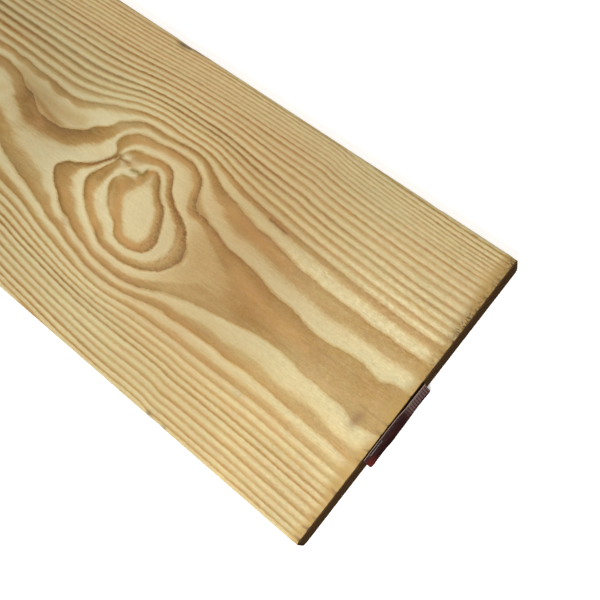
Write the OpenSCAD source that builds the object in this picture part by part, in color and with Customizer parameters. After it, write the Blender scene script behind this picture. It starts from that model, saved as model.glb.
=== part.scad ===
// Flat-sawn softwood board, nominal 1 x 8 inch, sawn square at both ends.
// Millimetres. Origin: centre of the underside. +X runs along the board to
// the end that carries the tag, +Y across the width, +Z up through the
// thickness.

/* [Board] */
// Length of the board, end to end
board_length = 2438.4; // [600:0.1:4900]
// Dressed width of the board
board_width = 184.15; // [89:0.05:286]
// Dressed thickness of the board
board_thickness = 19.05; // [16:0.05:38.1]
// Radius of the four eased long edges
edge_radius = 3.0; // [1:0.1:5]

/* [End tag] */
// Width of the plastic tag, across the board
tag_width = 51.0; // [40:0.5:60]
// Thickness of the tag's plastic film
tag_film = 0.3; // [0.2:0.05:0.5]
// Distance from the middle of the board's width to the middle of the tag
tag_offset = -13.5; // [-30:0.5:30]
// How far the tag's lower edge stands out from the sawn end
tag_flare = 3.0; // [2:0.5:9]
// How far the tag's upper edge stands out from the sawn end
tag_lift = 1.2; // [0.2:0.1:1.5]

/* [Staples] */
// Width over the legs of one staple
staple_crown = 10.6; // [8:0.1:13]
// Depth that the legs are driven into the wood
staple_leg = 8.0; // [5:0.5:12]
// Width of the staple's flat wire
wire_width = 1.25; // [0.8:0.05:1.5]
// Thickness of the staple's flat wire
wire_thickness = 0.5; // [0.4:0.05:0.7]
// Distance between the middles of the two staples
staple_spacing = 32.0; // [24:1:36]

/* [Hidden] */
$fn = 48;

// The sawn end that carries the tag
end_x = board_length / 2;
// Height at which the tag is stapled flat against the end
staple_z = board_thickness * 0.62;
// Half the height of the tag's flat band under the staples
flat_half = 1.2;
// Heights of the tag's upper and lower edges
tag_top = board_thickness - 0.5;
tag_bottom = 0.7;
// Number of steps in each curved part of the tag
tag_steps = 10;

// Stand-off of the tag's inner face from the sawn end, at height z
function tag_gap(z) =
    z > staple_z + flat_half
        ? tag_lift * pow((z - staple_z - flat_half) / (tag_top - staple_z - flat_half), 1.6)
    : z < staple_z - flat_half
        ? tag_flare * pow((staple_z - flat_half - z) / (staple_z - flat_half - tag_bottom), 1.9)
    : 0;

// Heights along the tag, from its lower edge to its upper edge
function tag_heights() = concat(
    [for (i = [0 : tag_steps]) tag_bottom + (staple_z - flat_half - tag_bottom) * i / tag_steps],
    [for (i = [0 : tag_steps]) staple_z + flat_half + (tag_top - staple_z - flat_half) * i / tag_steps]
);

// Unit normal of the tag's outer face at height z, as [out, up]
function tag_normal(z) =
    let (d = (tag_gap(z + 0.05) - tag_gap(z - 0.05)) / 0.1, n = sqrt(1 + d * d))
    [1 / n, -d / n];

// Section of the board: a rectangle with its corners eased
module board_section() {
    r = edge_radius;
    square([board_width - 2 * r, board_thickness], center = true);
    square([board_width, board_thickness - 2 * r], center = true);
    for (sy = [-1, 1], sz = [-1, 1])
        translate([sy * (board_width / 2 - r), sz * (board_thickness / 2 - r)])
            circle(r = r);
}

// Section of the tag: a thin film that follows tag_gap
module tag_section() {
    zs = tag_heights();
    inner = [for (z = zs) [tag_gap(z), z]];
    outer = [for (i = [len(zs) - 1 : -1 : 0])
        let (z = zs[i], n = tag_normal(z))
        [tag_gap(z) + n[0] * tag_film, abs(tag_gap(z)) < 0.0001 ? z : z + n[1] * tag_film]];
    polygon(concat(inner, outer));
}

// The two legs of a staple centred at the given width position
module staple_legs(y) {
    for (s = [-1, 1])
        translate([end_x - staple_leg,
                   y + s * (staple_crown - wire_thickness) / 2 - wire_thickness / 2,
                   staple_z - wire_width / 2])
            cube([staple_leg + tag_film, wire_thickness, wire_width]);
}

// One staple: a flat crown on the tag and two legs through it into the wood
module staple(y) {
    staple_legs(y);
    translate([end_x + tag_film, y - staple_crown / 2, staple_z - wire_width / 2])
        cube([wire_thickness, staple_crown, wire_width]);
}

module plank() {
    color("burlywood")
        difference() {
            translate([-board_length / 2, 0, board_thickness / 2])
                rotate([90, 0, 90])
                    linear_extrude(height = board_length)
                        board_section();
            for (s = [-1, 1])
                staple_legs(tag_offset + s * staple_spacing / 2);
        }
}

module end_tag() {
    color("maroon")
        difference() {
            translate([end_x, tag_offset + tag_width / 2, 0])
                rotate([90, 0, 0])
                    linear_extrude(height = tag_width)
                        tag_section();
            for (s = [-1, 1])
                staple_legs(tag_offset + s * staple_spacing / 2);
        }
}

module staple_left() {
    color("silver") staple(tag_offset - staple_spacing / 2);
}

module staple_right() {
    color("silver") staple(tag_offset + staple_spacing / 2);
}

plank();
end_tag();
staple_left();
staple_right();
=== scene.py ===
# A flat-sawn treated softwood board with a stapled plastic end tag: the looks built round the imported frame.
# Lengths are in millimetres until the meshes are made; u is the distance from the tagged end (negative along the board).
import math

import bpy
import numpy as np
from mathutils import Matrix, Vector


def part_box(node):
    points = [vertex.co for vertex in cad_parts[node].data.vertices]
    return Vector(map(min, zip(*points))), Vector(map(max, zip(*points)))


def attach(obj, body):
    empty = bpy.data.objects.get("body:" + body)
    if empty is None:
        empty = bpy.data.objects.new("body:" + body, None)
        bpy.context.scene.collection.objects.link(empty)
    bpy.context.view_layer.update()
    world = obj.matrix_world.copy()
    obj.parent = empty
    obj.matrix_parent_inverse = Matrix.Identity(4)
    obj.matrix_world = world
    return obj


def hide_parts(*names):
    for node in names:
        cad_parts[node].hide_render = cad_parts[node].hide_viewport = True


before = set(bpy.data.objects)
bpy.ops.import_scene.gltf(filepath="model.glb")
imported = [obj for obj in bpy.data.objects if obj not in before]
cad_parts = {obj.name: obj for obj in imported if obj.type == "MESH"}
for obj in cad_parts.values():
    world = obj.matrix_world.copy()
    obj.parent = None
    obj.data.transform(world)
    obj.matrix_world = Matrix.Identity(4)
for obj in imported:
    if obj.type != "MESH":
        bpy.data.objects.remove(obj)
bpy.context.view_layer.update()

MM = 0.001
lo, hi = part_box("plank")
END = hi.x * 1000.0
LEN = (hi.x - lo.x) * 1000.0
W = (hi.y - lo.y) * 1000.0
T = (hi.z - lo.z) * 1000.0
R = 3.0          # eased long edges
rng = np.random.default_rng(721)

# ------------------------------------------------------------------ camera
cam_data = bpy.data.cameras.new("camera")
cam_data.sensor_width = 36.0
cam_data.lens = 53.834
cam_data.clip_start, cam_data.clip_end = 0.01, 100.0
camera = bpy.data.objects.new("camera", cam_data)
bpy.context.scene.collection.objects.link(camera)
right = Vector((0.75341742, 0.62194291, -0.21342262))
down = Vector((0.56183357, -0.77753143, -0.28246753))
ahead = Vector((-0.34162148, 0.09290796, -0.93523413))
rot = Matrix((right, -down, -ahead)).transposed().to_4x4()
camera.matrix_world = Matrix.Translation((1.30442390, -0.03736724, 0.46960958)) @ rot
bpy.context.scene.camera = camera

# ------------------------------------------------------------------ growth rings
H = 75.0            # depth of the pith under the top face
# radius from the pith at which each late-wood edge lies, rings 2 to 17, near the tagged end
RING_R = [76.1, 81.0, 85.4, 88.4, 91.0, 93.6, 96.1, 98.9, 102.6, 105.2, 108.1, 111.2, 113.8, 115.7, 117.3, 118.9, 120.6, 122.9, 125.0]

def ring_of_radius(r):
    r = np.asarray(r, float)
    k = np.arange(2, 2 + len(RING_R))
    n = np.interp(r, RING_R, k)
    n = np.where(r < RING_R[0], 2 + (r - RING_R[0]) / 4.9, n)
    n = np.where(r > RING_R[-1], k[-1] + (r - RING_R[-1]) / 2.3, n)
    return n

SX = [-2440, -2200, -2000, -1800, -1600, -1400, -1200, -1000, -850, -700, -560, -440, -370, -250, -100, 0, 20]
# how the stem's taper and sweep shift the rings, and how its centre line wanders across the board
SHIFT = [13.5, 15.5, 12.5, 8.0, 6.5, 9.5, 12.0, 10.5, 6.0, 3.0, 2.0, 3.0, 3.2, 2.0, 0.6, 0.0, 0.0]
WANDER = [10, 3, -6, -12, -4, 8, 14, 6, -4, -12, -14, -10, -8, -8, -10, -10, -10]

def smooth_table(x, xs, ys):
    """Cubic (monotone-free Catmull) interpolation through a table."""
    xs = np.asarray(xs, float); ys = np.asarray(ys, float)
    m = np.gradient(ys, xs)
    i = np.clip(np.searchsorted(xs, x) - 1, 0, len(xs) - 2)
    h = xs[i + 1] - xs[i]
    t = np.clip((x - xs[i]) / h, 0, 1)
    return ((2*t**3 - 3*t**2 + 1) * ys[i] + (t**3 - 2*t**2 + t) * h * m[i]
            + (-2*t**3 + 3*t**2) * ys[i + 1] + (t**3 - t**2) * h * m[i + 1])

def base(x, y, z=T):
    yc = smooth_table(x, SX, WANDER)
    s = smooth_table(x, SX, SHIFT)
    r = np.sqrt((y - yc)**2 + (H - (T - z))**2) + s
    return ring_of_radius(r)

# closed and open late-wood edges round the bulge, (x, y)
E0 = [(-199, 17), (-192, 13), (-186, 6), (-180, 3), (-176, -2), (-172, -9), (-169, -17), (-171, -24), (-178, -27.5),
      (-188, -28.5), (-194, -27), (-199, -21), (-206, -18), (-212, -13), (-217, -7), (-219, -1), (-216, 4), (-209, 6.5), (-205, 13)]
E1 = [(-218, 20.5), (-210, 22.5), (-200, 24.5), (-191, 23.5), (-187, 19.5), (-183, 13.5), (-175, 8), (-168, 5), (-160, 1), (-154, -5.5),
      (-150.5, -12), (-150.5, -18), (-154, -24.5), (-162, -31), (-172, -35), (-182, -36.7), (-192, -36.5), (-200, -35),
      (-207, -31), (-214, -28), (-222, -23), (-229, -17), (-233, -9), (-231, -3), (-228.5, 3), (-226, 7), (-225, 9.8)]
E2 = [(0, 1.5), (-12, 1), (-16, -1.5), (-30, 0.5), (-40, 0), (-52, -2.2), (-65, -2), (-72, -0.5), (-80, 1), (-90, 1), (-100, 2.6), (-108, 4.7), (-120, 6), (-132, 6.5),
      (-140, 9), (-150, 11), (-160, 12.7), (-165.5, 16.5), (-168, 22), (-171, 28), (-178, 32.3), (-188, 34.5),
      (-200, 34), (-210, 32), (-218, 31.3), (-225, 29.5), (-230.5, 25), (-233, 20), (-230, 15), (-228, 11.5), (-228, 9.5), (-231, 5),
      (-234, 1), (-238, -2.5), (-244, -6), (-250.5, -8.5), (-253.5, -12), (-255.5, -17), (-252, -21), (-246, -26), (-238, -31),
      (-230, -35), (-220, -38.5), (-210, -41.3), (-200, -43.5), (-190, -44.6), (-180, -44.6), (-170, -44), (-160, -41.5),
      (-150, -37), (-140, -33), (-130, -30), (-120, -28), (-110, -26), (-100, -24.3), (-90, -22), (-80, -20.7), (-70, -20.5),
      (-60, -21.3), (-45, -22.8), (-25, -23.2), (0, -24)]
E3U = [(-430, 12), (-400, 14), (-372, 16.5), (-350, 18), (-330, 18.6), (-320, 17), (-310, 13), (-300, 9.5), (-290, 4.3), (-280, 3.9), (-270, 5), (-262, 8.5), (-255, 13),
       (-248, 20), (-242, 26.5), (-235, 32.5), (-228, 36.5), (-220, 38.3), (-210, 38.7), (-200, 39.7), (-190, 41), (-180, 40.6),
       (-170, 37), (-160, 33), (-150, 30.3), (-140, 28.3), (-125, 25.3), (-110, 24), (-100, 22.4), (-90, 20.6), (-75, 20),
       (-60, 19.4), (-40, 19.2), (-20, 19.3), (0, 19.3)]
E3L = [(-430, -25), (-400, -23), (-370, -19.5), (-345, -16.0), (-325, -14.6), (-311, -17), (-303, -21.5), (-295, -27), (-288, -29.3), (-280, -31.3), (-270, -34), (-260, -36.2), (-250, -39), (-240, -41.7), (-230, -43.7),
       (-220, -45.8), (-210, -48), (-200, -50), (-190, -51), (-180, -51.2), (-170, -50.2), (-160, -48.2), (-150, -45.6), (-140, -43.8),
       (-125, -42.6), (-110, -41.6), (-100, -41.2), (-80, -40.6), (-60, -40.8), (-40, -41.4), (-20, -41.7), (0, -42.6)]
E4L = [(-350, 26), (-330, 26.4), (-322, 27), (-312, 25.7), (-300, 25.7), (-290, 25), (-280, 24.6), (-272, 26), (-266, 28), (-260, 31), (-250, 35.7), (-240, 39.3), (-230, 42.5)]
# inner points that set how far late wood has come: (x, y, ring)
INNER = [(-187, -8, -0.9), (-193, -4, -0.9), (-183, -15, -0.8), (-194, -14, -0.8), (-201, 0, -0.62), (-204, -6, -0.56), (-210, -5, -0.25), (-204, -13, -0.3), (-177, -11, -0.42), (-181, -3, -0.45), (-199, 7, -0.55), (-194, 3, -0.8),
         (-187, -22, -0.6), (-175, -19, -0.4), (-196, 13, -0.3), (-212, 14.5, 0.6), (-219, 10.5, 0.75), (-221, 14, 0.45),
         (-221, 0, 0.6), (-223, -7, 0.6), (-225.5, -14, 0.6), (-218.5, -21, 0.6), (-209, -26.5, 0.6), (-200, -31, 0.6), (-190, -33, 0.6), (-180, -33.3, 0.6), (-168, -30, 0.6), (-158, -22, 0.6), (-156.5, -13, 0.6), (-160, -6, 0.6), (-167, 0.5, 0.6), (-178, 6, 0.6), (-186, 13, 0.6), (-191, 19, 0.6),
         (-215, -12, 0.12), (-207, -19, 0.12), (-198, -24, 0.12), (-222, 5, 0.6), (-214, 18.5, 0.8), (-205, 19.5, 0.62), (-198, 20.5, 0.5),
         (-147, -15, 1.06), (-138, -12, 1.32), (-128, -13, 1.44), (-119, -14, 1.5), (-113, -12, 1.62), (-118, -5, 1.62), (-117, -20, 1.62), (-128, -1, 1.6), (-140, 4, 1.6), (-150, 8, 1.6), (-104, -12, 1.72),
         (-90, -12, 1.74), (-70, -11, 1.72), (-50, -12, 1.76), (-30, -12, 1.72), (-12, -12, 1.76), (4, -12, 1.78),
         (-162, 5, 1.25), (-155, -3, 1.08), (-158, 8, 1.45), (-172, 15, 1.4), (-174, 24, 1.5), (-182, 29.5, 1.5), (-198, 29.7, 1.5), (-212, 27.3, 1.5), (-221, 24.3, 1.55), (-224.5, 19, 1.5), (-226, 13.5, 1.5),
         (-165, -38.5, 1.5), (-180, -41, 1.5), (-200, -40, 1.5), (-215, -34, 1.5), (-228, -26, 1.5), (-237, -18, 1.45), (-239, -8, 1.4), (-236, -4, 1.5), (-246, -14, 1.75), (-238, -22, 1.6),
         (-262, -13, 2.15), (-275, -12, 2.34), (-290, -11, 2.42), (-305, -8, 2.33), (-320, 2, 2.25), (-332, 8, 2.28), (-346, 11, 2.6), (-345, 2, 2.35), (-365, 5, 2.55), (-330, -8, 2.45), (-390, 2, 2.6), (-345, -6, 2.5), (-390, -12, 2.72),
         (-300, -2.5, 2.58), (-285, -4.5, 2.58), (-270, -4, 2.55), (-256, 0, 2.55), (-248, 6, 2.5), (-240, 13, 2.5), (-236, 20, 2.5), (-232, 28, 2.5), (-220, 35, 2.5), (-236, 12, 2.12), (-244, 0, 2.2), (-242, 5, 2.35),
         (-290, -22, 2.6), (-275, -25, 2.62), (-260, -27, 2.6), (-245, -33.5, 2.6), (-225, -39.5, 2.45), (-205, -45.5, 2.5), (-180, -48, 2.5),
         (-320, 9, 2.55), (-312, 3, 2.55), (-327, 13, 2.6), (-340, 14, 2.62),
         (-140, 19.5, 2.6), (-146, 23, 2.6), (-125, 18, 2.6), (-105, 15.3, 2.6), (-80, 13.3, 2.6), (-50, 12, 2.6), (-15, 12.3, 2.6), (-150, 25.5, 2.6), (-160, 22, 2.3),
         (-130, -38, 2.5), (-100, -36, 2.5), (-60, -35.7, 2.5), (-20, -37, 2.5),
         (-280, 14, 3.25), (-295, 17, 3.3), (-265, 17, 3.15), (-265, 22.5, 3.42), (-255, 24, 3.2), (-248, 31, 3.45), (-300, 21.3, 3.36), (-280, 20.5, 3.38), (-335, 22.3, 3.33), (-310, 13, 3.08), (-270, 10, 3.1)]

# the straighter rings: (ring, y at the left station, y at the sawn end, rise over the bulge)
UP = [(4, 25.3, 30.7, 16.9), (5, 31.5, 36.7, 14.6), (6, 36.9, 42, 13.2), (7, 42.2, 46.4, 11.6), (8, 47.3, 51, 10.1), (9, 52.3, 56.4, 8.9),
      (10, 56.9, 61, 8.3), (11, 60.5, 65, 6.9), (12, 64.8, 69, 6.8), (13, 68.8, 73, 5.8), (14, 71.0, 75.2, 5.9), (15, 73.8, 77.8, 5.4),
      (16, 76.4, 80.0, 5.6), (17, 79.3, 82.0, 5.6), (18, 82.0, 84.0, 5.2), (19, 84.2, 86.8, 4.6), (20, 87.0, 89.4, 4.2), (21, 89.8, 91.8, 4.0), (22, 92.5, 94.3, 4.0)]
UP_X = [-440, -400, -340, -300, -280, -260, -240, -220, -200, -180, -150, -126, -116, -109, -100, -60, -20, 0]
UP_IN = [0, 0, 0, -0.08, -0.06, 0.25, 0.75, 0.98, 0.99, 1.0, 0.62, 0.42, 0.37, 0.31, 0.25, 0.10, 0, 0]
UP_OUT = [0, 0, 0, 0.20, 0.26, 0.36, 0.58, 0.80, 0.93, 1.0, 0.98, 0.97, 0.90, 0.69, 0.54, 0.18, 0, 0]
LOW = [(4, -44, -51, -9.8), (5, -50, -56, -8.0), (6, -54.5, -60.6, -6.6), (7, -59, -65, -5.2), (8, -62.5, -68.6, -4.9), (9, -66.5, -72.5, -4.7),
       (10, -71.5, -78, -4.0), (11, -75.5, -82.2, -3.4), (12, -80, -86.3, -3.1), (13, -83.5, -89.5, -3.5), (14, -86.5, -92, -3.0), (15, -90, -95, -3.0)]
LOW_X = [-440, -370, -320, -280, -260, -240, -220, -200, -180, -150, -126, -116, -109, -100, -60, -20, 0]
LOW_IN = [-1.2, -1.1, -0.6, -0.2, 0, 0.38, 0.70, 0.95, 1.0, 0.54, 0.35, 0.30, 0.28, 0.24, 0.0, 0.02, 0]
LOW_OUT = [-0.9, -0.8, -0.5, -0.2, 0, 0.38, 0.65, 0.88, 1.0, 1.0, 0.65, 0.60, 0.80, 0.70, 0.32, 0.12, 0]

def rows_at(x, rows, xs, a, b, kmin, kmax):
    """y of each straighter ring's darkest line at x, innermost first."""
    si, so = smooth_table(x, xs, a), smooth_table(x, xs, b)
    left = -340 if rows is UP else -260
    t0 = (np.maximum(x, left - (60 if rows is UP else 110)) - left) / (0 - left)
    out = []
    for k, l, r, amp in rows:
        t = min(max((k - kmin) / (kmax - kmin), 0), 1)
        out.append(l + (r - l) * t0 + amp * (si * (1 - t) + so * t))
    return out

def straight(x, y):
    """Ring number in the straighter grain on both sides of the figure."""
    res = np.zeros(len(x))
    for rows, args, sign in ((UP, (UP_X, UP_IN, UP_OUT, 5, 15), 1), (LOW, (LOW_X, LOW_IN, LOW_OUT, 4, 12), -1)):
        ys = [sign * v for v in rows_at(x, rows, *args)]
        q = sign * y
        n = np.full(len(x), rows[0][0] - 0.15)
        n += np.minimum((q - ys[0]) / (ys[1] - ys[0]), 0)
        for j in range(len(ys) - 1):
            n += np.clip((q - ys[j]) / (ys[j + 1] - ys[j]), 0, 1)
        n += np.maximum((q - ys[-1]) / 3.0, 0)
        res = np.where(sign * (y + 8) > 0, n, res)
    return res

def constraints():
    P, V = [], []
    for pts, v in ((E0, 0), (E1, 1), (E2, 2), (E3U, 3), (E3L, 3), (E4L, 4)):
        for q in pts: P.append(q); V.append(v)
    for x, y, v in INNER: P.append((x, y)); V.append(v)
    for rows, args in ((UP, (UP_X, UP_IN, UP_OUT, 5, 15)), (LOW, (LOW_X, LOW_IN, LOW_OUT, 4, 12))):
        st = np.arange(args[0][0] + 0.0, 1, 10.0)
        for (k, *_), ys in list(zip(rows, rows_at(st, rows, *args)))[:4]:
            for x, y in zip(st, ys):
                if k == 4 and rows is UP and x < -235: continue
                P.append((x, y)); V.append(k - 0.15)
    for x in (-470, -520, -560):
        for y in range(-90, 91, 15): P.append((x, y)); V.append(None)
    P = np.array(P, float)
    b = base(P[:, 0], P[:, 1])
    V = np.array([bb if v is None else v for v, bb in zip(V, b)], float)
    return P, V - b

def tps(r2):
    return 0.5 * r2 * np.log(np.maximum(r2, 1e-9))

class Figure:
    """Thin-plate surface through the listed ring edges, as a difference from the stem's own rings."""
    def __init__(self, stiff=1.2):
        P, R = constraints()
        self.P = P / 100.0
        n = len(P)
        K = tps(((self.P[:, None] - self.P[None])**2).sum(2)) + np.eye(n) * stiff * 1e-4
        A = np.c_[np.ones(n), self.P]
        M = np.block([[K, A], [A.T, np.zeros((3, 3))]])
        s = np.linalg.solve(M, np.r_[R, 0, 0, 0])
        self.w, self.a = s[:n], s[n:]
    def __call__(self, x, y):
        out = np.empty(len(x))
        q = np.stack([x, y], 1) / 100.0
        for i in range(0, len(x), 4000):
            c = q[i:i + 4000]
            out[i:i + 4000] = tps(((c[:, None] - self.P[None])**2).sum(2)) @ self.w + self.a[0] + c @ self.a[1:]
        b = base(x, y)
        st = straight(x, y)
        w = np.clip((st - 4.9) / 1.6, 0, 1); w = w * w * (3 - 2 * w)
        out = out * (1 - w) + (st - b) * w
        fade = np.clip((np.asarray(x) + 560) / 150.0, 0, 1)
        return out * fade * fade * (3 - 2 * fade)

figure = Figure()

def rings(u, y, z):
    """Ring number at points of the board, the figure fading with depth below the top face."""
    u, y, z = (np.asarray(v, float) for v in (u, y, z))
    out = base(u, y, z)
    near = u > -560
    if near.any():
        out[near] += figure(u[near], y[near]) * (1 - 0.65 * np.clip((T - z[near]) / T, 0, 1))
    return out

# ------------------------------------------------------------------ board mesh
FINE_END = -380.0
STEP_FINE, STEP_FAR = 1.5, 12.0
NT, NA, NS, NB = 144, 4, 8, 72      # segments over the top, an eased edge, a side and the underside

def section(nt, na, ns, nb, inset=0.0):
    """Points (y, z), outward normals and arc length round the board's section, starting at the top's -Y end."""
    hy, r = W / 2 - R, R - inset
    P, N = [], []
    for i in range(nt):
        P.append((-hy + 2 * hy * i / nt, T - inset)); N.append((0, 1))
    for i in range(na):
        a = math.pi / 2 * (1 - i / na)
        P.append((hy + r * math.cos(a), T - R + r * math.sin(a))); N.append((math.cos(a), math.sin(a)))
    for i in range(ns):
        P.append((W / 2 - inset, T - R - (T - 2 * R) * i / ns)); N.append((1, 0))
    for i in range(na):
        a = -math.pi / 2 * i / na
        P.append((hy + r * math.cos(a), R + r * math.sin(a))); N.append((math.cos(a), math.sin(a)))
    for i in range(nb):
        P.append((hy - 2 * hy * i / nb, inset)); N.append((0, -1))
    for i in range(na):
        a = -math.pi / 2 * (1 + i / na)
        P.append((-hy + r * math.cos(a), R + r * math.sin(a))); N.append((math.cos(a), math.sin(a)))
    for i in range(ns):
        P.append((-W / 2 + inset, R + (T - 2 * R) * i / ns)); N.append((-1, 0))
    for i in range(na):
        a = math.pi - math.pi / 2 * i / na
        P.append((-hy + r * math.cos(a), T - R + r * math.sin(a))); N.append((math.cos(a), math.sin(a)))
    return np.array(P, float), np.array(N, float)

fineP, fineN = section(NT, NA, NS, NB)
farP, farN = section(NT // 2, NA, NS // 2, NB // 2)
BEVEL = 0.35
u_fine = np.r_[-BEVEL, np.arange(-STEP_FINE, FINE_END - 0.01, -STEP_FINE)]
n_far = int(round((LEN + FINE_END - BEVEL) / STEP_FAR))
u_far = np.linspace(FINE_END, -(LEN - BEVEL), n_far + 1)[1:]
if u_fine[-1] > FINE_END + 0.01:
    u_fine = np.r_[u_fine, FINE_END]

V, NORM, ENDG = [], [], []          # vertex place (u, y, z), outward normal, end-grain mask

def add(points, normals, endg=0.0):
    start = sum(len(v) for v in V)
    V.append(points); NORM.append(normals); ENDG.append(np.full(len(points), endg))
    return start

def ring_at(u, P, N, endg=0.0):
    return add(np.c_[np.full(len(P), u), P], np.c_[np.zeros(len(N)), N], endg)

faces, parts = [], []               # vertex ids, and (part, [(a, b), ...]) for the bake map

# arc lengths from the start of each part of the section, per corner
def bands(nt, na, ns, nb):
    """(part, first segment, number of segments) round the section."""
    return [("top", 0, nt), ("topR", nt, na), ("sideR", nt + na, ns), ("lowR", nt + na + ns, na),
            ("under", nt + 2 * na + ns, nb), ("lowL", nt + 2 * na + ns + nb, na),
            ("sideL", nt + 3 * na + ns + nb, ns), ("topL", nt + 3 * na + 2 * ns + nb, na)]

HY = W / 2 - R
ARC = R * math.pi / 2
def coord(band, f):
    """(part of the bake map, distance across it) at fraction f through a band."""
    if band == "top": return "T", ARC + 2 * HY * f
    if band == "topR": return "T", ARC + 2 * HY + ARC * f
    if band == "topL": return "T", ARC * f
    if band == "sideR": return "SR", (T - 2 * R) * f
    if band == "lowR": return "SR", T - 2 * R + ARC * f
    if band == "under": return "B", 2 * HY * f
    if band == "lowL": return "SL", ARC * f
    return "SL", ARC + (T - 2 * R) * f

def skin(a, ua, b, ub, counts):
    """Quads between two rings of the same counts; a is nearer the tagged end."""
    n = counts[0] + 4 * counts[1] + 2 * counts[2] + counts[3]
    for band, first, num in bands(*counts):
        for i in range(num):
            k, k2 = first + i, (first + i + 1) % n
            p, c0 = coord(band, i / num)
            _, c1 = coord(band, (i + 1) / num)
            faces.append((a + k, b + k, b + k2, a + k2))
            parts.append((p, ((ua, c0), (ub, c0), (ub, c1), (ua, c1))))

fine_counts, far_counts = (NT, NA, NS, NB), (NT // 2, NA, NS // 2, NB // 2)
fine_start = [ring_at(u, fineP, fineN) for u in u_fine]
far_start = [ring_at(u, farP, farN) for u in u_far]
for i in range(len(u_fine) - 1):
    skin(fine_start[i], u_fine[i], fine_start[i + 1], u_fine[i + 1], fine_counts)
for i in range(len(u_far) - 1):
    skin(far_start[i], u_far[i], far_start[i + 1], u_far[i + 1], far_counts)
# one row of wider faces joins the two
a, b, ua, ub = fine_start[-1], far_start[0], u_fine[-1], u_far[0]
nf, nc = len(fineP), len(farP)
for (band, f1, n1), (_, f2, n2) in zip(bands(*fine_counts), bands(*far_counts)):
    q = n1 // n2
    for i in range(n2):
        p, c0 = coord(band, i / n2)
        _, c1 = coord(band, (i + 1) / n2)
        mid = [(f1 + i * q + j) % nf for j in range(q + 1)]
        loop = [b + f2 + i, b + (f2 + i + 1) % nc] + [a + m for m in reversed(mid)]
        uv = [(ub, c0), (ub, c1)] + [(ua, coord(band, (i + j / q) / n2)[1]) for j in range(q, -1, -1)]
        faces.append(tuple(loop)); parts.append((p, tuple(uv)))

LEG_Y = [-13.5 + s * 16.0 + t * 5.05 for s in (-1, 1) for t in (-1, 1)]
LEG_Z = 0.62 * T

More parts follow.
